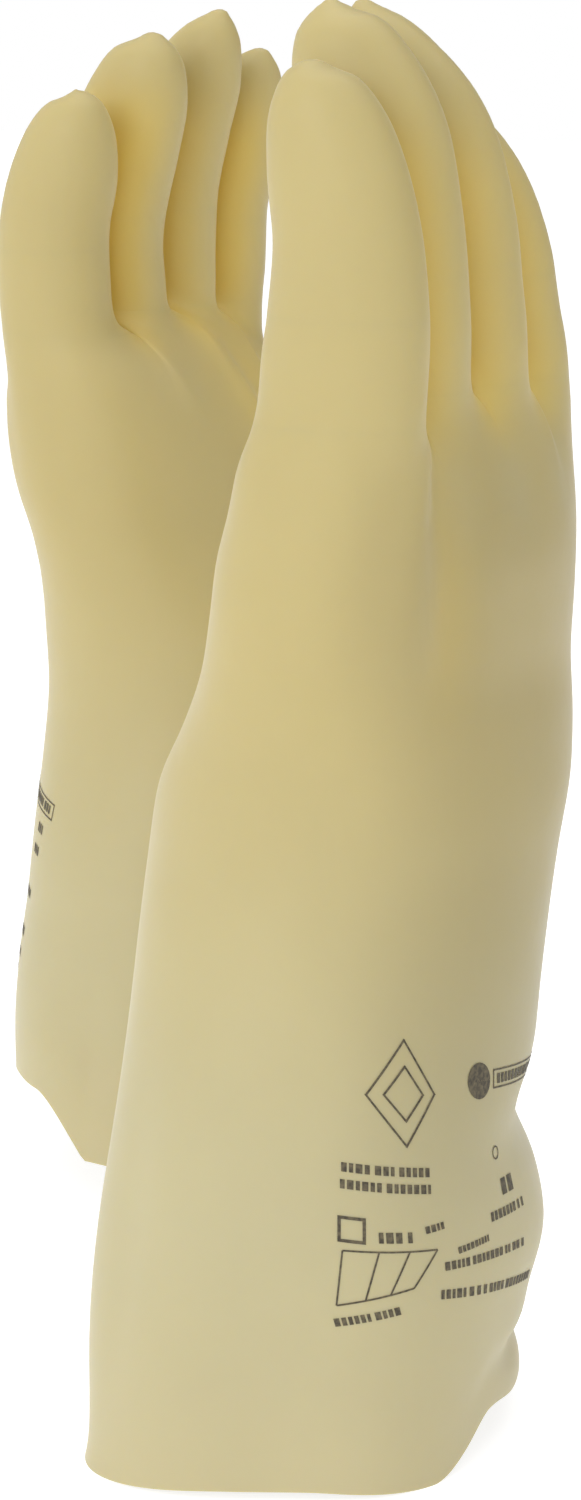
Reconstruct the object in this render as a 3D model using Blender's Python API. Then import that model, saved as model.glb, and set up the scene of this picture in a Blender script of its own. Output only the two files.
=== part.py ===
"""A pair of electrical insulating gloves, standing on their cuffs with the fingers up.

Each glove is a thin latex shell. It is cut into zones at the places where it flexes: the cuff, the
hand, and two zones for each digit. The left glove stands at +X with its palm towards -X. The right
glove stands at -X with its palm towards +X. The thumbs are on the +Y side of both.
"""

import math

import bmesh
import bpy
from mathutils import Matrix, Vector

# Driving dimensions, in millimetres
WALL = 0.8
LEFT_CENTRE = (91.25, -98.3)
RIGHT_CENTRE = (-91.25, 75.7)
WRIST_HINGE = (-14.0, 5.0, 168.0)
WRIST_RANGE = 0.5
KNUCKLE_RANGE = 0.9
MIDDLE_RANGE = 1.0
THUMB_RANGE = 0.7
SLIT = 0.4
FINGER_GAP = 0.6
BODY_POINTS = 24
DIGIT_POINTS = 12
RIM_BLEND = 85.0

# Sections of the body: height, centre u and v, half depth, half width, squareness.
# u runs from the palm to the back of the hand, v from the little finger to the thumb.
BODY = [
    (0.0, -17.5, -13.0, 49.0, 64.0, 2.1),
    (28.0, -17.3, -12.0, 50.5, 62.5, 2.1),
    (58.0, -17.0, -9.0, 51.5, 60.0, 2.1),
    (84.0, -16.8, -7.0, 50.5, 57.5, 2.1),
    (108.0, -16.7, -4.0, 50.1, 55.0, 2.1),
    (130.0, -16.9, 0.8, 50.6, 53.5, 2.1),
    (150.0, -16.5, 5.2, 50.8, 53.5, 2.1),
    (168.0, -14.4, 7.6, 50.0, 54.8, 2.15),
    (184.0, -10.3, 7.6, 44.8, 56.6, 2.2),
    (199.0, -6.5, 5.0, 39.5, 57.5, 2.3),
    (214.0, -3.0, 2.0, 37.3, 57.5, 2.4),
    (228.0, -1.1, 0.5, 35.7, 57.0, 2.5),
    (241.0, -0.2, -0.4, 32.8, 56.5, 2.7),
    (252.0, 0.9, -0.8, 28.4, 55.5, 2.8),
    (260.0, 2.4, -0.9, 22.6, 53.5, 2.8),
    (264.5, 5.0, -0.8, 13.0, 49.0, 2.7),
]

# Digits: u, v, height, half depth, half width of each section along the centreline.
FINGERS = {
    "little": [
        (5.0, -42.0, 232.0, 19.0, 13.4),
        (6.9, -42.6, 262.0, 22.2, 13.6),
        (8.9, -43.0, 286.0, 20.3, 13.5),
        (8.8, -43.5, 305.0, 18.6, 13.1),
        (5.6, -44.2, 322.0, 17.1, 12.3),
        (2.4, -44.8, 334.0, 13.8, 10.6),
        (0.6, -45.0, 341.0, 8.2, 7.0),
        (0.5, -45.1, 344.0, 2.4, 2.4),
    ],
    "ring": [
        (6.5, -14.6, 232.0, 19.0, 13.4),
        (7.2, -15.2, 264.0, 19.0, 13.6),
        (7.7, -15.8, 290.0, 17.4, 13.5),
        (5.9, -16.0, 309.0, 17.3, 13.3),
        (2.0, -17.2, 327.0, 18.0, 12.9),
        (-4.5, -18.3, 342.0, 16.0, 11.4),
        (-8.6, -19.0, 352.0, 10.6, 8.2),
        (-10.0, -19.3, 357.0, 2.6, 2.6),
    ],
    "middle": [
        (7.5, 13.6, 232.0, 19.0, 13.4),
        (8.1, 13.5, 264.0, 19.3, 13.6),
        (6.9, 13.1, 290.0, 18.1, 13.5),
        (5.2, 12.2, 309.0, 17.7, 13.3),
        (0.2, 10.8, 327.0, 17.4, 13.0),
        (-8.4, 9.2, 342.0, 14.2, 11.4),
        (-14.2, 8.2, 352.5, 9.0, 7.8),
        (-17.0, 7.6, 358.0, 2.6, 2.6),
    ],
    "index": [
        (6.0, 41.0, 232.0, 19.0, 13.4),
        (7.0, 40.6, 262.0, 19.2, 13.6),
        (4.0, 38.9, 284.0, 18.4, 13.5),
        (2.0, 38.0, 301.0, 17.9, 13.3),
        (-3.3, 37.2, 318.0, 17.0, 12.8),
        (-10.0, 36.2, 332.0, 13.2, 11.2),
        (-15.0, 35.0, 341.5, 8.4, 7.6),
        (-17.6, 34.4, 346.0, 2.4, 2.4),
    ],
}
THUMB = [
    (-18.0, 30.0, 158.0, 21.0, 19.0),
    (-25.0, 48.0, 181.0, 19.2, 17.8),
    (-31.0, 60.5, 200.0, 17.2, 15.8),
    (-37.0, 71.0, 220.0, 16.2, 14.9),
    (-42.0, 78.5, 237.0, 15.6, 14.4),
    (-46.5, 83.0, 250.0, 12.4, 11.6),
    (-49.0, 85.0, 257.5, 7.5, 7.2),
    (-50.3, 86.0, 261.5, 2.2, 2.2),
]
# The side of the thumb's pad, and how far its two hinges are along the centreline
THUMB_PAD = (-0.78, -0.62, 0.0)
THUMB_HINGES = (215.0, 236.0)
FINGER_HINGES = {
    "little": (273.0, 302.0),
    "ring": (280.0, 312.0),
    "middle": (280.0, 314.0),
    "index": (278.0, 308.0),
}
# How much longer each finger is on one glove than in the table above
REACH = {
    "left": {"little": 1.5, "ring": 1.4, "middle": 0.6, "index": -5.0},
    "right": {"little": -10.0, "ring": -6.5, "middle": -0.7, "index": -0.5},
}
# How far each fingertip of the right glove leans from there, in u and v
LEAN = {"little": (-1.7, 0.0), "ring": (-1.5, 0.0), "middle": (-1.2, 1.0), "index": (0.0, 0.0)}
# The raised part of the cuff's edge: direction in degrees from +u towards +v, half of its level
# stretch, the slope at each end of that, height
RIM_LIFT = {"left": (35.0, 32.0, 30.0, 12.0), "right": (-45.0, 28.0, 34.0, 33.0)}
# Where the left cuff's lower part is pressed in: direction, spread, how far, and how high up it goes
CUFF_PRESS = (-72.0, 27.0, 11.0, 125.0)
DIGITS = ("little", "ring", "middle", "index", "thumb")
# Natural latex, a little deeper where the fingers crowd together
LATEX = {
    "cuff": (0.66, 0.56, 0.29),
    "hand": (0.62, 0.51, 0.24),
    "base": (0.60, 0.47, 0.19),
    "tip": (0.61, 0.50, 0.23),
}


def smooth(x):
    x = min(max(x, 0.0), 1.0)
    return x * x * (3.0 - 2.0 * x)


def spline(rows, at):
    """The rows' values at a fractional row number, by a Catmull-Rom curve."""
    i = min(int(at), len(rows) - 2)
    t = at - i
    a, b = rows[i], rows[i + 1]
    before = rows[i - 1] if i > 0 else [2 * p - q for p, q in zip(a, b)]
    after = rows[i + 2] if i + 2 < len(rows) else [2 * q - p for p, q in zip(a, b)]
    return [
        0.5 * (2 * q + (r - p) * t + (2 * p - 5 * q + 4 * r - s) * t * t + (3 * q - p - 3 * r + s) * t**3)
        for p, q, r, s in zip(before, a, b, after)
    ]


def turn_from(angle, centre):
    """An angle in radians, as degrees from a direction, between -180 and 180."""
    return (math.degrees(angle) - centre + 180.0) % 360.0 - 180.0


def rim_height(side, angle):
    """How far the cuff's edge is above the table, at an angle around the cuff."""
    centre, level, slope, height = RIM_LIFT[side]
    return height * smooth((level + slope - abs(turn_from(angle, centre))) / slope)


def pressed_in(side, angle, z):
    """How far the cuff's wall is pressed in, at an angle and a height."""
    centre, spread, depth, top = CUFF_PRESS
    if side == "right":
        return 0.0
    return depth * smooth(1.0 - z / top) * math.exp(-((turn_from(angle, centre) / spread) ** 2))


def body_rings(side, inset):
    """Rings of the body's surface in (u, v, z), moved in by inset."""
    rings = []
    for z, u, v, depth, width, power in BODY:
        ring = []
        for k in range(BODY_POINTS):
            angle = 2 * math.pi * k / BODY_POINTS
            c, s = math.cos(angle), math.sin(angle)
            du = math.copysign(abs(c) ** (2 / power), c) * (depth - inset)
            dv = math.copysign(abs(s) ** (2 / power), s) * (width - inset)
            lift = rim_height(side, math.atan2(dv, du)) * max(0.0, 1.0 - z / RIM_BLEND)
            inward = 1.0 - pressed_in(side, math.atan2(dv, du), z) / math.hypot(du, dv)
            du, dv = du * inward, dv * inward
            top = inset if z > 250.0 else 0.0
            ring.append(Vector((u + du, v + dv, z + lift - top)))
        rings.append(ring)
    return rings


def finger_rows(side, name):
    """The finger's sections on this glove, with the reach and the lean of its free part."""
    rows = []
    for u, v, z, depth, width in FINGERS[name]:
        free = smooth((z - 272.0) / 60.0)
        lean_u, lean_v = LEAN[name] if side == "right" else (0.0, 0.0)
        rows.append([u + lean_u * free, v + lean_v * free, z + REACH[side][name] * free, depth, width])
    return rows


def place_across(rows, z):
    """Where a finger's centreline is across the hand, at a height."""
    for low, high in zip(rows, rows[1:]):
        if z <= high[2]:
            return low[1] + (high[1] - low[1]) * (z - low[2]) / (high[2] - low[2])
    return None


def digit_rows(side, name):
    """The digit's sections on this glove, narrow enough to clear the fingers beside it."""
    if name == "thumb":
        return [list(row) for row in THUMB]
    rows = finger_rows(side, name)
    fingers = DIGITS[:4]
    place = fingers.index(name)
    for beside in fingers[max(place - 1, 0) : place] + fingers[place + 1 : place + 2]:
        other = finger_rows(side, beside)
        for row in rows:
            across = place_across(other, row[2])
            if across is not None:
                row[4] = min(row[4], (abs(across - row[1]) - FINGER_GAP) / 2)
    return rows


def digit_frame(rows, at, name):
    """Centre, tangent, direction of the pad, hinge direction and half sizes at a row number."""
    u, v, z, depth, width = spline(rows, at)
    low, high = spline(rows, max(at - 0.05, 0.0)), spline(rows, min(at + 0.05, len(rows) - 1.0))
    tangent = Vector([q - p for p, q in zip(low[:3], high[:3])]).normalized()
    pad = Vector(THUMB_PAD) if name == "thumb" else Vector((-1.0, 0.0, 0.0))
    pad = (pad - tangent * pad.dot(tangent)).normalized()
    return Vector((u, v, z)), tangent, pad, tangent.cross(pad).normalized(), depth, width


def digit_rings(side, name, inset):
    rows = digit_rows(side, name)
    stations = [0.0, 1.0, 2.0, 3.0, 4.0, 4.8, 5.5, 6.1, 6.6, 7.0]
    rings = []
    for at in stations:
        centre, tangent, pad, axis, depth, width = digit_frame(rows, at, name)
        depth, width = max(depth - inset, 0.8), max(width - inset, 0.8)
        shift = tangent * (-inset * smooth((at - 5.0) / 2.0))
        ring = []
        for k in range(DIGIT_POINTS):
            angle = 2 * math.pi * (k + 0.5) / DIGIT_POINTS
            ring.append(centre + shift + pad * (depth * math.cos(angle)) + axis * (width * math.sin(angle)))
        rings.append(ring)
    return rings


def placed(side, point):
    """A point in (u, v, z) millimetres, in the part's frame in metres."""
    x, y = LEFT_CENTRE if side == "left" else RIGHT_CENTRE
    sign = 1.0 if side == "left" else -1.0
    return Vector((x + sign * point.x, y + point.y, point.z)) * 0.001


def solid(name, side, rings):
    """A closed solid from rings, capped flat at both ends."""
    mesh = bmesh.new()
    rows = [[mesh.verts.new(placed(side, p)) for p in ring] for ring in rings]
    count = len(rows[0])
    for low, high in zip(rows, rows[1:]):
        for k in range(count):
            n = (k + 1) % count
            mesh.faces.new((low[k], low[n], high[n], high[k]))
    mesh.faces.new(rows[0][::-1])
    mesh.faces.new(rows[-1])
    bmesh.ops.triangulate(mesh, faces=mesh.faces[:])
    bmesh.ops.recalc_face_normals(mesh, faces=mesh.faces[:])
    if mesh.calc_volume(signed=True) < 0:
        bmesh.ops.reverse_faces(mesh, faces=mesh.faces[:])
    data = bpy.data.meshes.new(name)
    mesh.to_mesh(data)
    mesh.free()
    made = bpy.data.objects.new(name, data)
    made.hide_render = True
    made.display_type = "WIRE"
    cutters.objects.link(made)
    return made


def prism(name, side, origin, across, along, axis, outline, reach):
    """A solid with an outline in (across, along) and this reach each way along the axis."""
    rings = [
        [origin + across * x + along * y + axis * end for x, y in outline] for end in (-reach, reach)
    ]
    return solid(name, side, rings)


def combined(first, second, operation):
    """Two solids made one by a Boolean. The second is then removed."""
    modifier = first.modifiers.new("join", "BOOLEAN")
    modifier.object = second
    modifier.operation = operation
    modifier.solver = "EXACT"
    graph = bpy.context.evaluated_depsgraph_get()
    graph.update()
    data = bpy.data.meshes.new_from_object(first.evaluated_get(graph))
    first.modifiers.clear()
    spent = [first.data, second.data]
    first.data = data
    bpy.data.objects.remove(second)
    for mesh in spent:
        bpy.data.meshes.remove(mesh)


# How far the cutters of a digit's hinge reach across it and along it
FAR = 70.0
LONG = 150.0


def hinge_frame(side, name, which):
    """The hinge's point, and its directions: away from the pad, along the digit, and the axis."""
    rows = digit_rows(side, name)
    target = THUMB_HINGES[which] if name == "thumb" else FINGER_HINGES[name][which]
    low, high = 0.0, len(rows) - 1.0
    for _ in range(40):
        at = (low + high) / 2
        low, high = (at, high) if spline(rows, at)[2] < target else (low, at)
    centre, tangent, pad, axis, _, _ = digit_frame(rows, (low + high) / 2, name)
    if name != "thumb":
        tangent, pad, axis = Vector((0, 0, 1)), Vector((-1, 0, 0)), Vector((0, -1, 0))
    return centre, -pad, tangent, axis


def edge_line(half, sign, slit=SLIT / 2):
    """One side of a hinge's notch, from the back of the digit to the side of its pad."""
    drop = FAR * math.tan(half)
    return [(FAR, sign * slit), (0.0, sign * slit), (-FAR, sign * (slit + drop))]


def below(side, name, which, half, label, more=0.0):
    """The space under a hinge's notch."""
    point, across, along, axis = hinge_frame(side, name, which)
    line = edge_line(half, -1.0, SLIT / 2 - more)
    outline = line + [(-FAR, -LONG), (FAR, -LONG)]
    return prism(label, side, point, across, along, axis, outline, 40.0)


def above(side, name, which, half, label):
    """The space over a hinge's notch."""
    point, across, along, axis = hinge_frame(side, name, which)
    line = edge_line(half, 1.0)
    outline = line + [(-FAR, LONG), (FAR, LONG)]
    return prism(label, side, point, across, along, axis, outline, 40.0)


def digit_parts(side, name):
    """The digit's two zones, and the outer and inner stubs that the hand keeps."""
    ranges = (THUMB_RANGE, THUMB_RANGE) if name == "thumb" else (KNUCKLE_RANGE, MIDDLE_RANGE)
    halves = [r / 2 + 0.02 for r in ranges]
    outer_stub = solid("outer_stub", side, digit_rings(side, name, 0.0))
    combined(outer_stub, below(side, name, 0, halves[0], "cut"), "INTERSECT")
    inner_stub = solid("inner_stub", side, digit_rings(side, name, WALL))
    combined(inner_stub, below(side, name, 0, halves[0], "cut", more=3.0), "INTERSECT")
    zones = []
    for which, label in enumerate(("base", "tip")):
        zone = solid(f"{side}_{name}_{label}", side, digit_rings(side, name, 0.0))
        combined(zone, solid("inside", side, digit_rings(side, name, WALL)), "DIFFERENCE")
        combined(zone, above(side, name, which, halves[which], "cut"), "INTERSECT")
        if which == 0:
            combined(zone, below(side, name, 1, halves[1], "cut"), "INTERSECT")
        zones.append(zone)
    return outer_stub, inner_stub, zones


def wrist_cut(obj, side, sign):
    """Keeps the part of a body above (sign 1) or below (sign -1) the wrist's notch."""
    frame = (Vector((1, 0, 0)), Vector((0, 0, 1)), Vector((0, -1, 0)))
    reach, tall = 120.0, 260.0
    drop = reach * math.tan(WRIST_RANGE / 2 + 0.02)
    outline = [(reach, sign * SLIT / 2), (0.0, sign * SLIT / 2), (-reach, sign * (SLIT / 2 + drop))]
    outline += [(-reach, sign * tall), (reach, sign * tall)]
    combined(obj, prism("cut", side, Vector(WRIST_HINGE), *frame, outline, 130.0), "INTERSECT")


def latex_material(name, colour):
    material = bpy.data.materials.new(name)
    material.use_nodes = True
    shader = material.node_tree.nodes["Principled BSDF"]
    shader.inputs["Base Color"].default_value = (*colour, 1.0)
    shader.inputs["Roughness"].default_value = 0.5
    shader.inputs["Metallic"].default_value = 0.0
    material.diffuse_color = (*colour, 1.0)
    return material


def seated(obj, pivot, parent=None):
    """A finished zone: shaded smooth, with its origin on its hinge and hung from its parent."""
    mesh = bmesh.new()
    mesh.from_mesh(obj.data)
    bmesh.ops.remove_doubles(mesh, verts=mesh.verts[:], dist=1e-6)
    bmesh.ops.triangulate(mesh, faces=mesh.faces[:])
    mesh.to_mesh(obj.data)
    mesh.free()
    obj.data.transform(Matrix.Translation(-pivot))
    obj.data.shade_smooth()
    obj.data.materials.clear()
    obj.data.materials.append(latex_material(f"{obj.name}_latex", LATEX[obj.name.split("_")[-1]]))
    obj.hide_render = False
    obj.display_type = "TEXTURED"
    cutters.objects.unlink(obj)
    gloves.objects.link(obj)
    obj["pivot"] = pivot
    obj.parent = parent
    obj.location = pivot - Vector(parent["pivot"]) if parent else pivot


def glove(side, beside=None):
    """One glove's zones. Its cuff hangs from another glove's cuff, or from nothing."""
    hand = solid(f"{side}_hand", side, body_rings(side, 0.0))
    inner_rings = body_rings(side, WALL)
    under = [Vector((p.x, p.y, p.z - 12.0)) for p in inner_rings[0]]
    inner = solid("inner", side, [under] + inner_rings)
    digits = {}
    for name in DIGITS:
        outer_stub, inner_stub, digits[name] = digit_parts(side, name)
        combined(hand, outer_stub, "UNION")
        combined(inner, inner_stub, "UNION")
    combined(hand, inner, "DIFFERENCE")
    cuff = bpy.data.objects.new(f"{side}_cuff", hand.data.copy())
    cutters.objects.link(cuff)
    wrist_cut(cuff, side, -1.0)
    wrist_cut(hand, side, 1.0)
    seated(cuff, placed(side, Vector((BODY[0][1], BODY[0][2], 0.0))), beside)
    seated(hand, placed(side, Vector(WRIST_HINGE)), cuff)
    for name, (base, tip) in digits.items():
        seated(base, placed(side, hinge_frame(side, name, 0)[0]), hand)
        seated(tip, placed(side, hinge_frame(side, name, 1)[0]), base)
    return cuff


def collection(name):
    made = bpy.data.collections.new(name)
    bpy.context.scene.collection.children.link(made)
    return made


for item in list(bpy.data.objects):
    bpy.data.objects.remove(item)
gloves = collection("electrical_insulating_gloves")
cutters = collection("cutters")
left_cuff = glove("left")
glove("right", left_cuff)
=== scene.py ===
"""A pair of electrical insulating gloves, standing on their cuffs with the fingers up."""

import math

import bmesh
import bpy
import numpy as np
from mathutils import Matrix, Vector
from mathutils.bvhtree import BVHTree


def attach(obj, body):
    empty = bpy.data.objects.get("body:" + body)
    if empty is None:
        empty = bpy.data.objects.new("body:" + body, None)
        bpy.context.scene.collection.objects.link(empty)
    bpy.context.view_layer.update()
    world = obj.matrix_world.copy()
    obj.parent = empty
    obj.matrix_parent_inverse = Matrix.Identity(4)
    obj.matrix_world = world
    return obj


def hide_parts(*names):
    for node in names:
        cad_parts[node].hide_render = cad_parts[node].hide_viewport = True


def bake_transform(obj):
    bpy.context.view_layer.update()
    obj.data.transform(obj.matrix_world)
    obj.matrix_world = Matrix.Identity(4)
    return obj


# All lengths below are in millimetres. Each glove is made in its own directions: u from the palm to
# the back of the hand, v from the little finger to the thumb, and z up.
CENTRE = {"left": (91.25, -98.3), "right": (-91.25, 75.7)}
WALL = 0.8
VOXEL = 1.75
CUFF_BLEND = 85.0

# height, centre u, centre v, depth towards the back, depth towards the palm, half width, squareness
BODY = [
    (-16.0, -17.6, -13.6, 48.4, 48.4, 64.4, 2.1),
    (0.0, -17.5, -13.0, 49.0, 49.0, 64.0, 2.1),
    (28.0, -17.3, -12.0, 50.5, 50.5, 62.5, 2.1),
    (58.0, -17.0, -9.0, 51.5, 51.5, 60.0, 2.1),
    (84.0, -16.8, -7.0, 50.5, 50.5, 57.5, 2.1),
    (108.0, -16.6, -4.0, 50.0, 50.3, 55.0, 2.1),
    (130.0, -16.6, 0.8, 50.3, 51.0, 53.5, 2.1),
    (150.0, -16.0, 5.2, 50.3, 51.3, 53.5, 2.1),
    (168.0, -13.8, 7.6, 49.3, 50.6, 54.8, 2.15),
    (184.0, -9.6, 7.6, 44.0, 45.5, 56.6, 2.2),
    (199.0, -5.5, 5.0, 38.5, 40.5, 57.5, 2.3),
    (214.0, -2.3, 2.0, 36.5, 38.0, 57.5, 2.4),
    (228.0, 0.2, 0.5, 34.3, 37.0, 57.0, 2.5),
    (241.0, 3.0, -0.4, 29.5, 33.5, 56.5, 2.8),
    (252.0, 6.0, -0.8, 23.2, 29.0, 55.5, 3.1),
    (260.0, 8.5, -0.9, 16.5, 24.0, 53.5, 3.0),
    (265.0, 9.5, -0.8, 9.5, 15.0, 49.0, 2.8),
    (267.0, 9.8, -0.7, 3.0, 3.0, 40.0, 2.5),
]
# u, v, height, half depth, half width of each section along the digit
FINGERS = {
    "little": [
        (4.6, -42.0, 225.0, 17.4, 12.4),
        (6.9, -42.6, 262.0, 22.2, 13.6),
        (8.9, -43.0, 286.0, 20.3, 13.5),
        (8.8, -43.5, 305.0, 18.6, 13.1),
        (5.6, -44.2, 322.0, 17.1, 12.3),
        (2.4, -44.8, 334.0, 13.8, 10.6),
        (0.6, -45.0, 341.5, 8.8, 7.4),
        (0.5, -45.1, 346.0, 1.5, 1.5),
    ],
    "ring": [
        (6.0, -14.6, 225.0, 17.0, 12.4),
        (7.2, -15.2, 264.0, 19.0, 13.6),
        (7.7, -15.8, 290.0, 17.4, 13.5),
        (5.9, -16.0, 309.0, 17.3, 13.3),
        (2.0, -17.2, 327.0, 18.0, 12.9),
        (-4.5, -18.3, 342.0, 16.0, 11.4),
        (-8.8, -19.0, 352.5, 11.0, 8.4),
        (-10.2, -19.3, 359.5, 1.5, 1.5),
    ],
    "middle": [
        (7.0, 13.6, 225.0, 17.0, 12.4),
        (8.1, 13.5, 264.0, 19.3, 13.6),
        (6.9, 13.1, 290.0, 18.1, 13.5),
        (5.2, 12.2, 309.0, 17.7, 13.3),
        (0.2, 10.8, 327.0, 17.4, 13.0),
        (-8.4, 9.2, 342.0, 14.2, 11.4),
        (-14.4, 8.2, 353.0, 8.8, 7.8),
        (-17.2, 7.6, 360.5, 1.5, 1.5),
    ],
    "index": [
        (5.4, 41.0, 225.0, 17.0, 12.4),
        (7.0, 40.6, 262.0, 19.2, 13.6),
        (4.0, 38.9, 284.0, 18.4, 13.5),
        (2.0, 38.0, 301.0, 17.9, 13.3),
        (-3.3, 37.2, 318.0, 17.0, 12.8),
        (-10.0, 36.2, 332.0, 13.2, 11.2),
        (-15.2, 35.0, 342.0, 8.4, 7.8),
        (-17.8, 34.4, 348.5, 1.5, 1.5),
    ],
}
THUMB = [
    (-12.0, 20.0, 148.0, 17.0, 16.0),
    (-18.0, 32.0, 160.0, 20.0, 18.5),
    (-25.0, 48.0, 181.0, 19.2, 17.8),
    (-31.0, 60.5, 200.0, 17.2, 15.8),
    (-37.0, 71.0, 220.0, 16.2, 14.9),
    (-42.0, 78.5, 237.0, 15.6, 14.4),
    (-46.5, 83.0, 250.0, 12.4, 11.6),
    (-49.0, 85.0, 257.5, 7.7, 7.4),
    (-50.3, 86.0, 261.5, 1.5, 1.5),
]
THUMB_PAD = (-0.78, -0.62, 0.0)
# How far the thumb's surface is from its centreline, at most
THUMB_REACH = 22.0
# Where one finger's strip ends and the next begins, in v, and how the strips lean above the webs
FINGER_BOUNDS = (-29.0, -0.6, 27.4)
SPREAD = 0.055
SPREAD_FROM = 264.0
REACH = {
    "left": {"little": 1.5, "ring": 1.4, "middle": 0.6, "index": -5.0},
    "right": {"little": -10.0, "ring": -6.5, "middle": -0.7, "index": -0.5},
}
# How far each fingertip of the right glove leans from there, in u and v
LEAN = {"little": (-1.7, 0.0), "ring": (-1.5, 0.0), "middle": (-1.2, 1.0), "index": (0.0, 0.0)}
# How much further the palm stands out below the little finger, at five heights
HEEL = {"left": (0.0, 0.0, 1.6, 7.0, 11.5), "right": (0.0, 0.5, 2.0, 4.0, 5.0)}
# What the little finger's root adds to its place from palm to back, and to its half depth
ROOT = {"left": (-0.5, 0.7), "right": (2.3, -2.4)}
# The height of the web between neighbouring fingers, from the little finger's, against the body's top
WEBS = ((-29.0, -2.4), (-0.6, 3.0), (27.4, 2.2))
# The raised parts of the cuff's edge: direction in degrees from +u towards +v, half of its level
# stretch, the slope at each end of that, height
RIM_LIFT = {
    "left": [(38.0, 32.0, 30.0, 11.0), (-72.0, 10.0, 42.0, 2.2)],
    "right": [(-45.0, 28.0, 34.0, 33.0), (-109.0, 16.0, 22.0, 14.0)],
}

# Where each digit's zones begin and end: root bend from, root bend to and mid bend from, mid bend to
ZONES = {
    "little": (263.0, 288.0, 316.0),
    "ring": (269.0, 297.0, 327.0),
    "middle": (269.0, 298.0, 330.0),
    "index": (268.0, 294.0, 322.0),
}
THUMB_ZONES = (203.0, 225.5, 247.0)
WRIST_ZONE = (132.0, 200.0)

# The fingers are built apart, so that the surfaces between them stay separate, then closed up.
APART = 36.0
SLOT = {"little": -1.5 * APART, "ring": -0.5 * APART, "middle": 0.5 * APART, "index": 1.5 * APART}
CLOSED = 28.0
MIDDLE_V = -0.6
NAMES = ("little", "ring", "middle", "index")


def smooth(x):
    x = np.clip(x, 0.0, 1.0)
    return x * x * (3.0 - 2.0 * x)


def spline(rows, at):
    """Values between rows at a fractional row number, by a Catmull-Rom curve."""
    rows = np.asarray(rows, float)
    i = min(int(at), len(rows) - 2)
    t = at - i
    a, b = rows[i], rows[i + 1]
    before = rows[i - 1] if i > 0 else 2 * a - b
    after = rows[i + 2] if i + 2 < len(rows) else 2 * b - a
    return 0.5 * (
        2 * a + (b - before) * t + (2 * before - 5 * a + 4 * b - after) * t * t
        + (3 * a - before - 3 * b + after) * t**3
    )


def superellipse(angle, power):
    c, s = np.cos(angle), np.sin(angle)
    return np.sign(c) * np.abs(c) ** (2 / power), np.sign(s) * np.abs(s) ** (2 / power)


def apart(v):
    """Where a place across the hand is while the fingers are apart."""
    return (v - MIDDLE_V) * APART / CLOSED


def body_rings(side):
    rings = []
    for at in np.arange(0.0, len(BODY) - 0.99, 0.25):
        z, u, v, back, palm, width, power = spline(BODY, at)
        c, s = superellipse(np.linspace(0, 2 * np.pi, 160, endpoint=False), power)
        across = v + width * s
        full = np.interp(z, (226.0, 238.0, 247.0, 255.0, 262.0), HEEL[side])
        towards = np.where(across < 0, full, 5.0 * smooth((z - 208.0) / 30.0))
        heel = towards * np.clip(-c * 1.5, 0, 1) * np.clip(across / 45.0, -1, 1)
        u = u + np.where(c > 0, back, palm) * c + heel
        web = np.interp(across, *np.transpose(WEBS)) * smooth((z - 232.0) / 30.0)
        rings.append(np.stack([u, apart(across), z + web], 1))
    return rings


def digit_rows(side, name):
    if name == "thumb":
        return np.array(THUMB)
    rows = np.array(FINGERS[name])
    free = smooth((rows[:, 2] - 272.0) / 60.0)
    rows[:, 2] += REACH[side][name] * free
    if side == "right":
        rows[:, :2] += np.outer(free, LEAN[name])
    if name == "little":
        root = smooth((rows[:, 2] - 240.0) / 20.0) * smooth((322.0 - rows[:, 2]) / 60.0)
        rows[:, 0] += root * ROOT[side][0]
        rows[:, 3] += root * ROOT[side][1]
    return rows


def digit_frame(rows, at, name):
    """Centre, tangent, direction of the pad, bend axis and half sizes at a row number."""
    u, v, z, depth, width = spline(rows, at)
    low, high = spline(rows, max(at - 0.05, 0.0)), spline(rows, min(at + 0.05, len(rows) - 1.0))
    tangent = (high - low)[:3] / np.linalg.norm((high - low)[:3])
    pad = np.array(THUMB_PAD if name == "thumb" else (-1.0, 0.0, 0.0))
    pad = pad - tangent * (pad @ tangent)
    pad /= np.linalg.norm(pad)
    return np.array((u, v, z)), tangent, pad, np.cross(tangent, pad), max(depth, 0.4), max(width, 0.4)


def digit_rings(side, name):
    rows = digit_rows(side, name)
    if name != "thumb":
        rows[:, 1] = SLOT[name]
    rings = []
    angles = np.linspace(0, 2 * np.pi, 72, endpoint=False)
    for at in np.arange(0.0, len(rows) - 0.99, 0.125):
        centre, _, pad, axis, depth, width = digit_frame(rows, at, name)
        ring = centre + pad * (depth * np.cos(angles))[:, None] + axis * (width * np.sin(angles))[:, None]
        if name == "thumb":
            ring[:, 1] = apart(ring[:, 1])
        rings.append(ring)
    return rings


def loft(mesh, rings):
    """A closed surface through the rings, added to a bmesh."""
    rows = [[mesh.verts.new(p * 0.001) for p in ring] for ring in rings]
    count = len(rows[0])
    made = []
    for low, high in zip(rows, rows[1:]):
        for k in range(count):
            n = (k + 1) % count
            made.append(mesh.faces.new((low[k], low[n], high[n], high[k])))
    made.append(mesh.faces.new(rows[0][::-1]))
    made.append(mesh.faces.new(rows[-1]))
    bmesh.ops.recalc_face_normals(mesh, faces=made)


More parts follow.
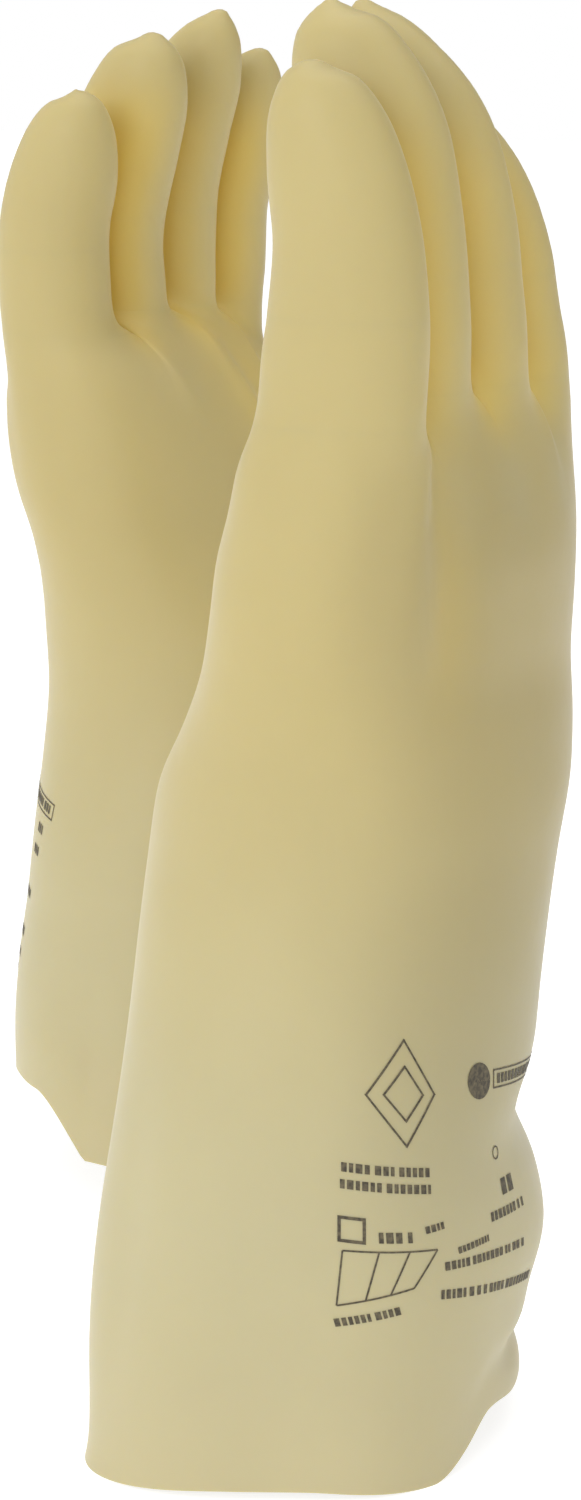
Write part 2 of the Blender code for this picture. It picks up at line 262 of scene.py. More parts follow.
def remeshed(side):
    """One surface over the body and the digits with the fingers apart, as vertices and quads."""
    mesh = bmesh.new()
    loft(mesh, body_rings(side))
    for name in NAMES + ("thumb",):
        loft(mesh, digit_rings(side, name))
    data = bpy.data.meshes.new("rough")
    mesh.to_mesh(data)
    mesh.free()
    rough = bpy.data.objects.new("rough", data)
    bpy.context.scene.collection.objects.link(rough)
    modifier = rough.modifiers.new("remesh", "REMESH")
    modifier.mode = "VOXEL"
    modifier.voxel_size = VOXEL * 0.001
    graph = bpy.context.evaluated_depsgraph_get()
    made = rough.evaluated_get(graph).to_mesh()
    points = np.empty(len(made.vertices) * 3)
    made.vertices.foreach_get("co", points)
    corners = np.empty(len(made.loops), np.int64)
    made.loops.foreach_get("vertex_index", corners)
    totals = np.empty(len(made.polygons), np.int64)
    made.polygons.foreach_get("loop_total", totals)
    assert (totals == 4).all()
    bpy.data.objects.remove(rough)
    bpy.data.meshes.remove(data)
    return points.reshape(-1, 3) * 1000.0, corners.reshape(-1, 4)


def edges_of(quads):
    pairs = np.concatenate([quads[:, [k, (k + 1) % quads.shape[1]]] for k in range(quads.shape[1])])
    return np.unique(np.sort(pairs, axis=1), axis=0)


def relaxed(points, edges, weight, rounds, back=0.0):
    """Each point moved towards its neighbours' mean, by its weight; back undoes part of the shrinkage."""
    count = np.bincount(edges.ravel(), minlength=len(points))[:, None]
    a, b = edges[:, 0], edges[:, 1]
    for _ in range(rounds):
        for share in (0.5, -back) if back else (0.5,):
            total = np.empty_like(points)
            for k in range(3):
                from_b = np.bincount(a, points[b, k], len(points))
                total[:, k] = from_b + np.bincount(b, points[a, k], len(points))
            points = points + share * weight[:, None] * (total / count - points)
    return points


def closed_up(side, points):
    """The fingers moved together: each keeps its own width, and the gaps between them close."""
    z, v = points[:, 2], points[:, 1]
    plain = v * CLOSED / APART + MIDDLE_V
    knots, places = [-110.0], [np.full_like(z, -110.0 * CLOSED / APART + MIDDLE_V)]
    centres = []
    for name in NAMES:
        rows = digit_rows(side, name)
        centres.append(np.interp(z, rows[:, 2], rows[:, 1]))
    for k, name in enumerate(NAMES):
        gaps = [centres[k] - centres[k - 1]] if k else []
        gaps += [centres[k + 1] - centres[k]] if k < 3 else []
        half = np.minimum(13.75, (np.minimum.reduce(gaps) - 0.5) / 2)
        for sign in (-1, 1):
            knots.append(SLOT[name] + sign * 13.75)
            places.append(centres[k] + sign * half)
    for end in (82.0, 240.0):
        knots.append(end)
        places.append(np.full_like(z, end * CLOSED / APART + MIDDLE_V))
    stepped = np.array(plain)
    for k in range(len(knots) - 1):
        t = (v - knots[k]) / (knots[k + 1] - knots[k])
        here = (t >= 0) & (t < 1)
        stepped[here] = (places[k] + (places[k + 1] - places[k]) * t)[here]
    near = smooth((z - 236.0) / 28.0)
    points = points.copy()
    points[:, 1] = plain + (stepped - plain) * near
    return points


def rim_height(side, angle):
    lift = np.zeros_like(angle)
    for centre, level, slope, height in RIM_LIFT[side]:
        off = (np.degrees(angle) - centre + 180.0) % 360.0 - 180.0
        lift = np.maximum(lift, height * smooth((level + slope - np.abs(off)) / slope))
    wave = 0.6 * np.sin(5.0 * angle + 1.0) + 0.5 * np.sin(11.0 * angle)
    return lift + wave * smooth(lift / 12.0)


def body_centre(z):
    rows = np.array(BODY)
    return np.interp(z, rows[:, 0], rows[:, 1]), np.interp(z, rows[:, 0], rows[:, 2])


def vertex_normals(points, faces):
    """Area-weighted normals of a surface of quads and triangles, given as a list of index arrays."""
    normals = np.zeros_like(points)
    for part in faces:
        a, c = points[part[:, 0]], points[part[:, 2]]
        b, d = points[part[:, 1]], points[part[:, -1]]
        across = np.cross(c - a, d - b) if part.shape[1] == 4 else np.cross(b - a, c - a)
        for k in range(part.shape[1]):
            for axis in range(3):
                normals[:, axis] += np.bincount(part[:, k], across[:, axis], len(points))
    return normals / np.maximum(np.linalg.norm(normals, axis=1), 1e-12)[:, None]


# The soft ridge and groove that run down the back of the hand from between the last two fingers
RIDGE = [(-30.0, 266.0), (-36.0, 255.0), (-42.5, 242.0), (-43.5, 228.0), (-43.0, 205.0)]
GROOVE = [(-28.5, 266.0), (-30.5, 255.0), (-32.0, 240.0), (-31.0, 222.0), (-28.0, 195.0)]
# The soft folds on the palm below the webs
FOLDS = (
    ([(-1.0, 266.0), (0.0, 256.0), (3.0, 245.0), (8.0, 230.0)], 5.5, (218.0, 272.0, 20.0), 2.2),
    ([(-29.0, 266.0), (-28.0, 254.0), (-25.0, 240.0)], 6.0, (232.0, 272.0, 18.0), 1.3),
)


def along(points, places, width, ends):
    """A soft band's height, from 0 to 1, along a line given as (v, z) places on the back of the hand."""
    places = np.array(places)
    v, z = points[:, 1], points[:, 2]
    middle = np.interp(z, places[::-1, 1], places[::-1, 0])
    low, high, fade = ends
    band = np.exp(-(((v - middle) / width) ** 2))
    return band * smooth((z - low) / fade) * smooth((high - z) / (fade * 0.5))


def round_cuff(points, angle, spread, height, reach):
    """A soft bump's height, from 0 to 1, at a direction in degrees and a height of the cuff."""
    cu, cv = body_centre(points[:, 2])
    turned = np.degrees(np.arctan2(points[:, 1] - cv, points[:, 0] - cu)) - angle
    off = (turned + 180.0) % 360.0 - 180.0
    return np.exp(-((off / spread) ** 2) - ((points[:, 2] - height) / reach) ** 2)


def sculpted(side, points, faces):
    """The soft dents and ridges of the standing rubber."""
    normals = vertex_normals(points, faces)
    back = smooth((points[:, 0] - 8.0) / 14.0) * np.clip(normals[:, 0], 0, 1) ** 2
    push = np.zeros(len(points))
    push += back * 2.0 * along(points, RIDGE, 5.5, (198.0, 268.0, 30.0))
    push -= back * 3.2 * along(points, GROOVE, 7.0, (180.0, 268.0, 40.0))
    palm = smooth((-4.0 - points[:, 0]) / 8.0) * np.clip(-normals[:, 0], 0, 1) ** 2
    for places, width, ends, height in FOLDS:
        push += palm * height * along(points, places, width, ends)
    normal_part = push[:, None] * normals

    cu, cv = body_centre(points[:, 2])
    out = np.stack([points[:, 0] - cu, points[:, 1] - cv, 0.0 * cu], 1)
    out /= np.maximum(np.linalg.norm(out, axis=1), 1e-6)[:, None]
    cuff = np.zeros(len(points))
    if side == "left":
        low = smooth(1.0 - points[:, 2] / 125.0)
        flare = 3.0 * low + 2.2 * np.exp(-points[:, 2] / 6.0)
        cuff += flare * round_cuff(points, -121.0, 17.0, 0.0, 400.0)
        cuff += 2.4 * round_cuff(points, -137.0, 11.0, 44.0, 44.0)
        cuff -= 1.6 * round_cuff(points, -115.0, 8.0, 50.0, 44.0)
        cuff -= low * 11.0 * round_cuff(points, -72.0, 27.0, 0.0, 400.0)
        cuff -= 5.2 * round_cuff(points, 40.0, 34.0, 83.0, 12.0)
        cuff += 3.1 * round_cuff(points, 34.0, 32.0, 47.0, 15.0)
        cuff -= 3.4 * round_cuff(points, 34.0, 26.0, 12.5, 6.0)
    else:
        cuff -= 2.0 * round_cuff(points, -96.0, 16.0, 36.0, 12.0)
    return points + normal_part + cuff[:, None] * out


def cut(mesh, faces, point, normal):
    """The surface split along a plane, where it meets these faces."""
    found = set(faces)
    verts = {v for f in found for v in f.verts}
    edges = {e for f in found for e in f.edges}
    bmesh.ops.bisect_plane(
        mesh, geom=list(verts) + list(edges) + list(found), dist=1e-6,
        plane_co=Vector(point) * 0.001, plane_no=Vector(normal),
    )


def finger_at(v, z):
    """Which finger's strip of the hand each place is in, from 0 for the first of NAMES."""
    return np.searchsorted(FINGER_BOUNDS, v + SPREAD * np.maximum(z - SPREAD_FROM, 0.0))


def digit_of(points):
    """The digit of each place: 0 to 3 for a finger past its root, 4 for the thumb, -1 for none."""
    found = np.full(len(points), -1)
    u, v, z = points.T
    which = finger_at(v, z)
    for k, name in enumerate(NAMES):
        found[(which == k) & (z > ZONES[name][0] - 1e-4)] = k
    root, outward = thumb_plane(0)
    line = np.array([spline(THUMB, at)[:3] for at in np.linspace(2.0, len(THUMB) - 1.0, 40)])
    near = np.flatnonzero((v > 30.0) & (u < 0.0) & (z > 190.0) & ((points - root) @ outward > -1e-4))
    away = np.linalg.norm(points[near, None] - line, axis=2).min(axis=1)
    found[near[away < THUMB_REACH]] = 4
    return found


def thumb_plane(which):
    """A point and direction of the plane across the thumb at the start of a zone."""
    rows = np.array(THUMB)
    places = [spline(rows, at) for at in np.linspace(0, len(rows) - 1, 400)]
    at = np.argmin([abs(p[2] - THUMB_ZONES[which]) for p in places]) * (len(rows) - 1) / 399
    centre, tangent, _, _, _, _ = digit_frame(rows, at, "thumb")
    return centre, tangent


def whole_glove(side):
    """The glove's outer surface: points in its own directions, triangles and quads, and their zones."""
    points, quads = remeshed(side)
    edges = edges_of(quads)
    everywhere = np.ones(len(points))
    points = relaxed(points, edges, everywhere, 6, back=0.52)
    u, v, z = points.T
    webs = smooth((z - 232.0) / 24.0) * smooth((279.0 - z) / 12.0)
    rounds = int(34 * (1.5 / VOXEL) ** 2)
    points = relaxed(points, edges, webs * 0.9, rounds)
    knuckles = smooth((u - 4.0) / 10.0) * smooth((z - 226.0) / 22.0) * smooth((290.0 - z) / 26.0)
    points = relaxed(points, edges, knuckles * 0.95, rounds * 2)
    palm_edge = np.array([-20.0, apart(-40.0), 258.0])
    heel = np.exp(-(((points - palm_edge) / np.array([18.0, 34.0, 17.0])) ** 2).sum(axis=1))
    points = relaxed(points, edges, np.clip(heel * 1.6, 0, 0.95), rounds * 3)
    root = np.array([-26.0, apart(50.0), 186.0])
    crotch = np.exp(-(((points - root) / np.array([30.0, 34.0, 34.0])) ** 2).sum(axis=1))
    points = relaxed(points, edges, np.clip(crotch * 1.4, 0, 0.95), rounds)
    points = closed_up(side, points)

    mesh = bmesh.new()
    verts = [mesh.verts.new(p * 0.001) for p in points]
    for q in quads:
        mesh.faces.new([verts[i] for i in q])
    bmesh.ops.bisect_plane(
        mesh, geom=mesh.verts[:] + mesh.edges[:] + mesh.faces[:], dist=1e-6,
        plane_co=(0, 0, 0), plane_no=(0, 0, 1), clear_inner=True,
    )
    for k, name in enumerate(NAMES):
        for which in (0, 1):
            mesh.faces.ensure_lookup_table()
            height = ZONES[name][which]
            centres = np.array([f.calc_center_median()[:] for f in mesh.faces]) * 1000.0
            mine = finger_at(centres[:, 1], centres[:, 2]) == k
            near = (np.abs(centres[:, 2] - height) < 6.0) & mine & (centres[:, 0] > -36.0)
            cut(mesh, [mesh.faces[int(i)] for i in np.flatnonzero(near)], (0, 0, height), (0, 0, 1))
    for which in (0, 1):
        mesh.faces.ensure_lookup_table()
        centre, outward = thumb_plane(which)
        centres = np.array([f.calc_center_median()[:] for f in mesh.faces]) * 1000.0
        off = centres - centre
        near = (np.abs(off @ outward) < 8.0) & (np.linalg.norm(off, axis=1) < 28.0) & (centres[:, 1] > 40.0)
        cut(mesh, [mesh.faces[int(i)] for i in np.flatnonzero(near)], centre, outward)
    bmesh.ops.triangulate(mesh, faces=[f for f in mesh.faces if len(f.verts) > 4])
    mesh.verts.index_update()
    points = np.array([v.co[:] for v in mesh.verts]) * 1000.0
    faces = []
    for n in (3, 4):
        corners = [[v.index for v in f.verts] for f in mesh.faces if len(f.verts) == n]
        faces.append(np.array(corners, np.int64).reshape(-1, n))
    mesh.free()
    zones = []
    for part in faces:
        centres = points[part].mean(axis=1)
        digit = digit_of(centres)
        zone = np.zeros(len(part), np.int64)
        for k, name in enumerate(NAMES):
            zone[digit == k] = 1 + 2 * k
            zone[(digit == k) & (centres[:, 2] > ZONES[name][1])] = 2 + 2 * k
        middle, outward = thumb_plane(1)
        zone[digit == 4] = 9
        zone[(digit == 4) & ((centres - middle) @ outward > 0)] = 10
        zones.append(zone)
    points = sculpted(side, points, faces)
    cu, cv = body_centre(points[:, 2])
    lift = rim_height(side, np.arctan2(points[:, 1] - cv, points[:, 0] - cu))
    points[:, 2] += lift * np.clip(1.0 - points[:, 2] / CUFF_BLEND, 0.0, 1.0)
    return points, faces, zones


def placed(side, points):
    """Points in a glove's own directions, in the shared frame in metres."""
    x, y = CENTRE[side]
    sign = 1.0 if side == "left" else -1.0
    return np.stack([x + sign * points[:, 0], y + points[:, 1], points[:, 2]], 1) * 0.001


def tinted(side, points):
    """The latex's colour at each place, with painted light: paler in the cuff; amber between the fingers,
    partly thicker latex and partly a painted glow of bounced light; a painted glow in the cupped palm below
    the webs and in the groove on the back; paler under the webs, partly thin latex and partly a painted
    highlight; painted shade on the back of the left glove.
    """
    u, v, z = points.T
    centres = []
    for name in NAMES:
        rows = digit_rows(side, name)
        centres.append(np.interp(z, rows[:, 2], rows[:, 1]))
    off = np.minimum.reduce([np.abs(v - (a + b) / 2) for a, b in zip(centres, centres[1:])])
    # Amber between the fingers: partly thicker latex in the clefts, partly a painted glow of light bouncing
    # between the fingers.
    cleft_glow = np.exp(-((off / 7.5) ** 2)) * smooth((z - 250.0) / 26.0) * smooth((348.0 - z) / 34.0)
    # Paler, greyer under the webs: partly latex stretched thin there, partly a painted highlight where the
    # webs catch the light.
    thin = np.exp(-((off / 9.0) ** 2) - ((z - 246.0) / 12.0) ** 2) * (0.25 + 0.75 * smooth((u + 4.0) / 10.0))
    colour = np.outer(np.ones(len(points)), CUFF_COLOUR)
    # Painted glow: golden light bouncing in the cupped palm below the webs.
    palm_glow = smooth((-4.0 - u) / 8.0) * np.exp(-(((v - 16.0) / 24.0) ** 2) - ((z - 246.0) / 24.0) ** 2)
    # Painted glow: amber light bouncing in the groove down the back of the hand.
    groove = smooth((u - 8.0) / 14.0) * along(points, GROOVE, 6.0, (180.0, 268.0, 40.0))
    for share, tone in (
        (smooth((z - 60.0) / 150.0), HAND_COLOUR),
        (0.45 * thin, THIN_AND_HIGHLIGHT_COLOUR),
        (0.9 * cleft_glow, RECESS_GLOW_COLOUR),
        (0.45 * palm_glow, RECESS_GLOW_COLOUR),
        (0.22 * groove, RECESS_GLOW_COLOUR),
    ):
        colour += share[:, None] * (np.array(tone) - colour)
    if side == "left":
        # Painted shade: the left glove's back of the hand and wrist darkened, on the side turned away from
        # the light.
        shaded = smooth((u - 6.0) / 26.0) * smooth((z - 40.0) / 70.0) * smooth((268.0 - z) / 40.0)
        colour *= 1.0 - 0.15 * shaded[:, None]
    return np.concatenate([colour, np.ones((len(points), 1))], 1)


def mesh_object(name, points, polygons, normals, material, colours=None):
    data = bpy.data.meshes.new(name)
    data.from_pydata(points.tolist(), [], polygons)
    data.polygons.foreach_set("use_smooth", [True] * len(polygons))
    data.update()
    if normals is not None:
        data.normals_split_custom_set_from_vertices(normals.tolist())
    if colours is not None:
        attribute = data.color_attributes.new("tint", "FLOAT_COLOR", "POINT")
        attribute.data.foreach_set("color", colours.ravel())
    data.materials.append(material)
    made = bpy.data.objects.new(name, data)
    bpy.context.scene.collection.objects.link(made)
    return made


def rim_loop(points, faces):
    """The vertices along the cut edge of the cuff, in order."""
    low = {}
    for part in faces:
        n = part.shape[1]
        pairs = np.concatenate([part[:, [k, (k + 1) % n]] for k in range(n)])
        for a, b in pairs.tolist():
            low[(a, b)] = low.get((a, b), 0) + 1
    following = {a: b for (a, b) in low if (b, a) not in low}
    start = next(iter(following))
    loop = [start]
    while following[loop[-1]] != start:
        loop.append(following[loop[-1]])
    return np.array(loop)


CUFF_COLOUR = (0.500, 0.446, 0.258)
HAND_COLOUR = (0.510, 0.414, 0.180)
# Paler, greyer latex stretched thin under the webs, with a painted highlight there.
THIN_AND_HIGHLIGHT_COLOUR = (0.50, 0.435, 0.24)
# Amber of thicker latex between the fingers, brightened into a painted glow of bounced light; also the
# painted glow in the cupped palm and the groove.
RECESS_GLOW_COLOUR = (0.76, 0.54, 0.115)

# How much the lines of the stamp fall towards its right-hand end
STAMP_SLOPE = 0.16
STAMP_RISE = {"left": 0.0, "right": 20.0}

PIECES = ["cuff_and_hand"] + [f"{n}_{end}" for n in NAMES + ("thumb",) for end in ("base", "tip")]


def build_glove(side, material):
    """The glove's pieces, each an outer and an inner surface, made in the places of the CAD parts."""
    points, faces, zones = whole_glove(side)
    normals = vertex_normals(points, faces)
    inner = points - normals * WALL
    colours = tinted(side, points)
    loop = rim_loop(points, faces)
    sign = 1.0 if side == "left" else -1.0
    flip = np.array([sign, 1.0, 1.0])
    made = {}
    for k, piece in enumerate(PIECES):
        polygons, used = [], []
        for part, zone in zip(faces, zones):
            chosen = part[zone == k]
            used.append(chosen.ravel())
            polygons += chosen.tolist()
        index = np.unique(np.concatenate(used))
        place = np.full(len(points), -1)
        place[index] = np.arange(len(index))
        count = len(index)
        outer = [[int(place[i]) for i in p] for p in polygons]
        inside = [[i + count for i in p[::-1]] for p in outer]
        shape = np.concatenate([points[index], inner[index]])
        shading = np.concatenate([normals[index], -normals[index]])
        tint = np.concatenate([colours[index], colours[index]])
        strip = []
        if k == 0:
            ends = place[loop].tolist()
            a, b = points[loop], inner[loop]
            base = len(shape)
            shape = np.concatenate([shape, a, b])
            down = np.zeros_like(a)
            down[:, 2] = -1.0
            shading = np.concatenate([shading, down, down])
            tint = np.concatenate([tint, colours[loop], colours[loop]])
            m = len(ends)
            strip = [[base + i, base + m + i, base + m + (i + 1) % m, base + (i + 1) % m] for i in range(m)]
        every = outer + inside + strip
        if side == "right":
            every = [p[::-1] for p in every]
        made[piece] = mesh_object(
            f"{side}_{piece}", placed(side, shape), every, shading * flip, material, tint
        )
    return points, faces, made


def stroke(line, width):
    """The two edges of a line drawn with a pen of this width, as places on the sheet a short step apart."""
    line = np.array(line, float)
    steps = [line[:1]]
    for a, b in zip(line, line[1:]):
        n = max(1, int(np.ceil(np.linalg.norm(b - a) / 1.2)))
        steps.append(a + (b - a) * np.arange(1, n + 1)[:, None] / n)
    path = np.concatenate(steps)
    way = np.gradient(path, axis=0)
    way /= np.maximum(np.linalg.norm(way, axis=1), 1e-9)[:, None]
    side = np.stack([-way[:, 1], way[:, 0]], 1) * width / 2
    return path + side, path - side


def outline(corners, width):
    """Pen strokes round a shape, one for each side."""
    corners = [np.array(c, float) for c in corners]
    made = []
    for a, b in zip(corners, corners[1:] + corners[:1]):
        end = (b - a) / np.linalg.norm(b - a) * width / 2
        made.append(stroke([a - end, b + end], width))
    return made


def ring(centre, radius, width, start=0.0, stop=360.0):
    turn = np.radians(np.linspace(start, stop, 25))
    return [stroke(np.array(centre) + radius * np.stack([np.cos(turn), np.sin(turn)], 1), width)]


def blocks(start, end, height, seed):
    """A line of writing shown as plain blocks, one for each letter."""
    random = np.random.default_rng(seed)
    start, end = np.array(start, float), np.array(end, float)
    way = (end - start) / np.linalg.norm(end - start)
    up = np.array([-way[1], way[0]])
    made, at, length, word = [], 0.0, np.linalg.norm(end - start), 0
    while at < length - 0.8:
        wide = min(random.uniform(0.4, 0.75) * height, length - at)
        middle = start + way * at + up * height / 2
        made.append(stroke([middle, middle + way * wide], height))
        word += 1
        at += wide + height * (0.55 if word % int(random.integers(3, 8)) == 0 else 0.24)
    return made


# Where the stamp faces, in degrees from +u towards +v, and how far round the right one is from there
STAMP_TURN = -30.0
STAMP_SHIFT = {"left": 0.0, "right": 35.0}
STAMP_MM_PER_DEGREE = 0.925
CUFF_AXIS = (-17.0, -8.0)
INK_THICKNESS = 0.12
# Start, end and height of the blocks that only the right glove's stamp has
RIGHT_LINE_ENDS = (
    (49.5, 54.5, 95.6), (48.5, 54.0, 88.6), (44.0, 51.0, 74.0), (46.0, 51.0, 62.0), (45.0, 50.5, 55.0),
)


def stamp(side):
    """The marking on a cuff's back, in millimetres across and up, with plain shapes for marks and writing."""
    made = []
    made += outline([(-7.2, 114.0), (1.0, 101.0), (-7.4, 88.0), (-17.8, 100.0)], 0.55)
    made += outline([(-7.3, 107.6), (-2.4, 100.8), (-7.4, 94.2), (-13.2, 100.4)], 0.55)
    made += blocks((-24.1, 80.6), (-0.8, 80.4), 2.3, 1)
    made += blocks((-24.4, 76.4), (-0.9, 76.2), 2.3, 2)
    made += outline([(-24.6, 69.2), (-24.6, 63.4), (-18.6, 63.4), (-18.6, 69.2)], 0.8)
    made += blocks((-15.0, 63.6), (-6.4, 64.0), 2.7, 3)
    made += blocks((-2.6, 66.2), (4.0, 67.6), 1.8, 4)
    top, low = ((-23.8, 60.9), (0.6, 62.2)), ((-25.2, 46.8), (-6.2, 52.6))
    for t in (0.0, 0.36, 0.68, 1.0):
        upper, lower = [np.array(a) + (np.array(b) - np.array(a)) * t for a, b in (top, low)]
        made.append(stroke([upper, lower], 0.45))
    for a, b in (top, low):
        made.append(stroke([np.array(a), np.array(b)], 0.45))
    made += blocks((-25.4, 41.4), (-8.6, 46.2), 2.0, 5)
    for radius in (0.6, 1.5, 2.4, 3.3, 4.2):
        made += ring((17.2, 103.8), radius, 1.0)
    made += outline([(23.6, 106.2), (23.6, 101.6), (60.0, 102.4), (60.0, 107.0)], 0.45)
    made += blocks((25.4, 102.6), (58.0, 103.4), 2.6, 6)
    if side == "right":
        for start, stop, z in RIGHT_LINE_ENDS:
            made += blocks((start, z), (stop, z + 0.2), 2.8, 12)
    made += ring((25.6, 84.6), 1.6, 0.4)
    made += blocks((27.2, 73.6), (33.6, 74.4), 4.2, 7)
    made += blocks((21.0, 67.4), (39.0, 69.6), 2.4, 8)
    made += blocks((7.6, 60.6), (20.0, 62.8), 1.7, 9)
    made += blocks((3.0, 56.6), (38.0, 59.2), 2.2, 10)
    made += blocks((1.6, 49.4), (46.0, 48.6), 2.4, 11)
    return made


def printed(side, points, faces, material):
    """The stamp as a thin skin of ink that follows the cuff's surface."""
    polygons = [p for part in faces for p in part.tolist()]
    surface = BVHTree.FromPolygons(points.tolist(), polygons)
    corners, quads = [], []
    for left, right in stamp(side):
        base = len(corners)
        for pair in zip(left, right):
            for s, t in pair:
                across = (s if side == "left" else -s) / STAMP_MM_PER_DEGREE
                turn = math.radians(STAMP_TURN + across + STAMP_SHIFT[side])
                z = t - STAMP_SLOPE * s + STAMP_RISE[side]
                axis = Vector((*CUFF_AXIS, z))
                away = Vector((math.cos(turn), math.sin(turn), 0.0))
                hit, normal, _, _ = surface.ray_cast(axis, away)
                assert hit is not None
                normal = normal if normal.dot(away) > 0 else -normal
                corners.append(tuple(hit + normal * INK_THICKNESS))
        n = len(left)
        quads += [(base + 2 * i, base + 2 * i + 1, base + 2 * i + 3, base + 2 * i + 2) for i in range(n - 1)]
    made = mesh_object(f"{side}_stamp", placed(side, np.array(corners)), quads, None, material)
    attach(made, f"{side}_cuff")


def bind(side, made):
    """Bakes each piece's placement into its mesh and hides the CAD parts that the pieces stand in for."""
    x, y = CENTRE[side]

    def at(point):
        return tuple(placed(side, np.array([point]))[0])

    start, end = [at((-13.8, 5.0, z)) for z in WRIST_ZONE]
    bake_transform(made["cuff_and_hand"])
    for name in NAMES:
        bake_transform(made[f"{name}_base"])
        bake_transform(made[f"{name}_tip"])
    for which, (a, b) in enumerate((("hand", "thumb_base"), ("thumb_base", "thumb_tip"))):
        start, outward = thumb_plane(which)
        stop, _ = thumb_plane(which + 1)
        end = start + outward * ((stop - start) @ outward)
        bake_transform(made[b])
    for piece, obj in made.items():
        if piece == "cuff_and_hand":
            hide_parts(f"{side}_cuff", f"{side}_hand")
        else:
            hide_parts(f"{side}_{piece}")


def noise(nodes, links, scale, detail):
    """A noise texture in the frame's own metres."""
    place = nodes.new("ShaderNodeTexCoord")
    made = nodes.new("ShaderNodeTexNoise")
    made.inputs["Scale"].default_value = scale
    made.inputs["Detail"].default_value = detail
    links.new(place.outputs["Object"], made.inputs["Vector"])
    return made


def latex_material():
    """Natural latex: cream, slightly cloudy, satin, with a soft glow in thin places."""
    material = bpy.data.materials.new("latex")
    material.use_nodes = True
    nodes, links = material.node_tree.nodes, material.node_tree.links
    shader = nodes["Principled BSDF"]
    # The tint attribute holds the latex colour with its painted glow, highlight and shade.
    tint = nodes.new("ShaderNodeAttribute")
    tint.attribute_name = "tint"
    cloud = noise(nodes, links, 26.0, 4.0)
    level = nodes.new("ShaderNodeMapRange")
    level.inputs["To Min"].default_value = 0.955
    level.inputs["To Max"].default_value = 1.045
    blended = nodes.new("ShaderNodeVectorMath")
    blended.operation = "SCALE"
    links.new(cloud.outputs["Fac"], level.inputs["Value"])
    links.new(tint.outputs["Color"], blended.inputs[0])
    links.new(level.outputs["Result"], blended.inputs["Scale"])
    links.new(blended.outputs["Vector"], shader.inputs["Base Color"])
    gloss = noise(nodes, links, 60.0, 3.0)
    rough = nodes.new("ShaderNodeMapRange")
    rough.inputs["To Min"].default_value = 0.36
    rough.inputs["To Max"].default_value = 0.52
    links.new(gloss.outputs["Fac"], rough.inputs["Value"])
    links.new(rough.outputs["Result"], shader.inputs["Roughness"])
    grain = noise(nodes, links, 420.0, 5.0)
    bump = nodes.new("ShaderNodeBump")
    bump.inputs["Strength"].default_value = 0.05
    bump.inputs["Distance"].default_value = 0.0006
    links.new(grain.outputs["Fac"], bump.inputs["Height"])
    links.new(bump.outputs["Normal"], shader.inputs["Normal"])
    shader.inputs["Specular IOR Level"].default_value = 0.32
    shader.inputs["Subsurface Weight"].default_value = 0.25
    shader.inputs["Subsurface Radius"].default_value = (1.0, 0.62, 0.2)
    shader.inputs["Subsurface Scale"].default_value = 0.004
    shader.inputs["Sheen Weight"].default_value = 0.18
    shader.inputs["Sheen Roughness"].default_value = 0.35
    shader.inputs["Sheen Tint"].default_value = (1.0, 0.96, 0.82, 1.0)
    return material


def ink_material():
    """Stamped ink: dark olive brown, a little uneven."""
    material = plain_material("ink", (0.06, 0.05, 0.03), 0.6)
    nodes, links = material.node_tree.nodes, material.node_tree.links
    patch = noise(nodes, links, 900.0, 3.0)
    ramp = nodes.new("ShaderNodeValToRGB")
    ramp.color_ramp.elements[0].color = (0.045, 0.036, 0.02, 1.0)
    ramp.color_ramp.elements[1].color = (0.16, 0.13, 0.07, 1.0)
    ramp.color_ramp.elements[0].position = 0.35
    ramp.color_ramp.elements[1].position = 0.75
    links.new(patch.outputs["Fac"], ramp.inputs["Fac"])
    links.new(ramp.outputs["Color"], nodes["Principled BSDF"].inputs["Base Color"])
    return material


def plain_material(name, colour, roughness):
    material = bpy.data.materials.new(name)
    material.use_nodes = True
    shader = material.node_tree.nodes["Principled BSDF"]
    shader.inputs["Base Color"].default_value = (*colour, 1.0)
    shader.inputs["Roughness"].default_value = roughness
    return material


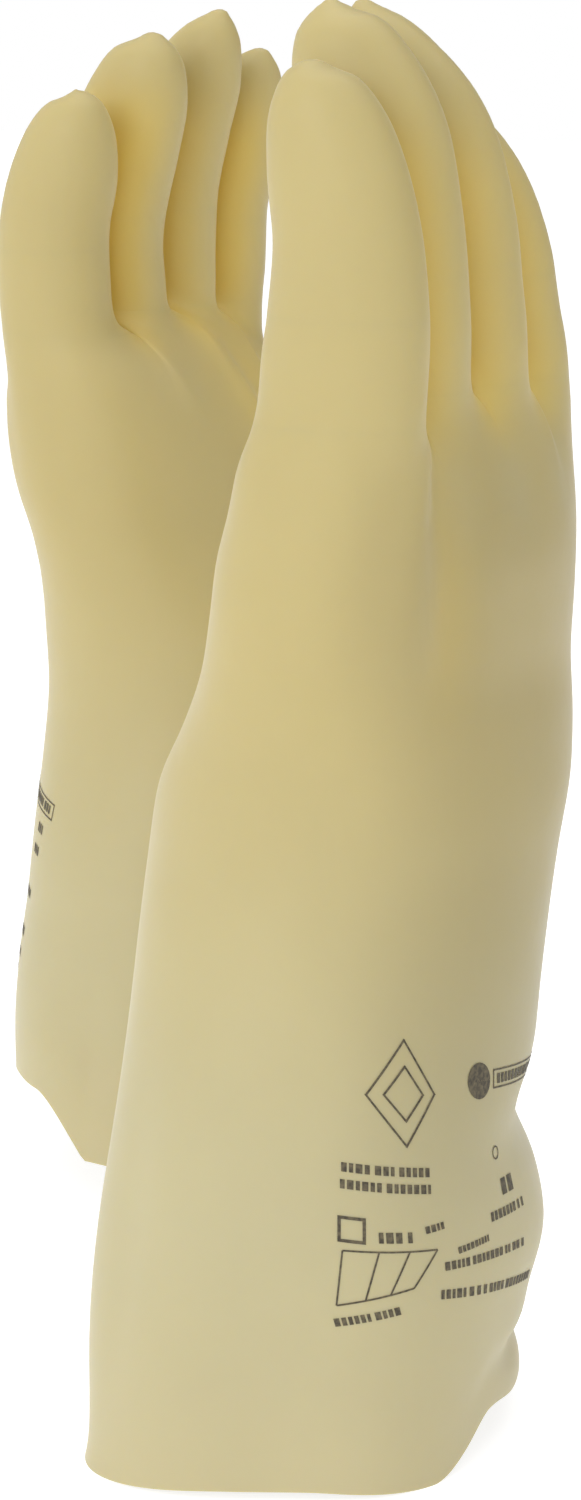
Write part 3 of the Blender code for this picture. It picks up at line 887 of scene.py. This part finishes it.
def studio():
    """A pale floor, soft lights and a bright, even surround."""
    floor_data = bpy.data.meshes.new("floor")
    floor_data.from_pydata([(-9, -9, 0), (9, -9, 0), (9, 9, 0), (-9, 9, 0)], [], [(0, 1, 2, 3)])
    paper = plain_material("floor", (0.45, 0.45, 0.45), 0.9)
    paper.node_tree.nodes["Principled BSDF"].inputs["Emission Color"].default_value = (1.0, 1.0, 1.0, 1.0)
    paper.node_tree.nodes["Principled BSDF"].inputs["Emission Strength"].default_value = 0.80
    floor_data.materials.append(paper)
    floor = bpy.data.objects.new("floor", floor_data)
    bpy.context.scene.collection.objects.link(floor)
    world = bpy.data.worlds.new("studio")
    world.use_nodes = True
    nodes, links = world.node_tree.nodes, world.node_tree.links
    surround = nodes["Background"]
    place = nodes.new("ShaderNodeTexCoord")
    across = nodes.new("ShaderNodeVectorMath")
    across.operation = "DOT_PRODUCT"
    across.inputs[1].default_value = Vector((-0.15, -0.97, 0.15)).normalized()
    lit = nodes.new("ShaderNodeMapRange")
    lit.inputs["From Min"].default_value = -0.95
    lit.inputs["To Min"].default_value = 0.14
    lit.inputs["To Max"].default_value = 1.06
    seen = nodes.new("ShaderNodeLightPath")
    plain = nodes.new("ShaderNodeMix")
    plain.inputs["B"].default_value = 1.0
    links.new(place.outputs["Generated"], across.inputs[0])
    links.new(across.outputs["Value"], lit.inputs["Value"])
    links.new(seen.outputs["Is Camera Ray"], plain.inputs["Factor"])
    links.new(lit.outputs["Result"], plain.inputs["A"])
    links.new(plain.outputs["Result"], surround.inputs["Strength"])
    surround.inputs["Color"].default_value = (1.0, 1.0, 1.0, 1.0)
    bpy.context.scene.world = world
    bpy.context.scene.view_settings.view_transform = "Standard"
    for name, place, size, power in (
        ("key", (-0.5, -1.85, 1.1), 1.0, 6.5),
        ("top", (0.0, 0.0, 2.2), 2.4, 21.0),
    ):
        lamp = bpy.data.lights.new(name, "AREA")
        lamp.size = size
        lamp.energy = power
        made = bpy.data.objects.new(name, lamp)
        made.location = place
        made.rotation_euler = (Vector((0, 0, 0.18)) - made.location).to_track_quat("-Z", "Y").to_euler()
        bpy.context.scene.collection.objects.link(made)


def camera():
    turn, pitch = math.radians(30.5), math.radians(11.8)
    ahead = Vector((-math.sin(turn), math.cos(turn), 0.0))
    aside = Vector((math.cos(turn), math.sin(turn), 0.0))
    data = bpy.data.cameras.new("camera")
    data.lens = 83.35
    made = bpy.data.objects.new("camera", data)
    glove = Vector((*CENTRE["left"], 0.0)) * 0.001
    made.location = glove - ahead * 0.850 - aside * 0.0277 + Vector((0, 0, 0.355))
    made.rotation_euler = (math.pi / 2 - pitch, 0.0, turn)
    bpy.context.scene.collection.objects.link(made)
    bpy.context.scene.camera = made


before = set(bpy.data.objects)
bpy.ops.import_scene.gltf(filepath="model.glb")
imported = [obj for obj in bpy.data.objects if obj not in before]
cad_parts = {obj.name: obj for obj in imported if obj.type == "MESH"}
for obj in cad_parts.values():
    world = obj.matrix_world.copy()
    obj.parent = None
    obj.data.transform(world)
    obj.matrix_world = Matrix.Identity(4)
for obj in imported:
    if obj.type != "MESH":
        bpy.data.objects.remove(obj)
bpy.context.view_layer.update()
latex, ink = latex_material(), ink_material()
for side_name in ("left", "right"):
    glove_points, glove_faces, glove_pieces = build_glove(side_name, latex)
    bind(side_name, glove_pieces)
    printed(side_name, glove_points, glove_faces, ink)
studio()
camera()
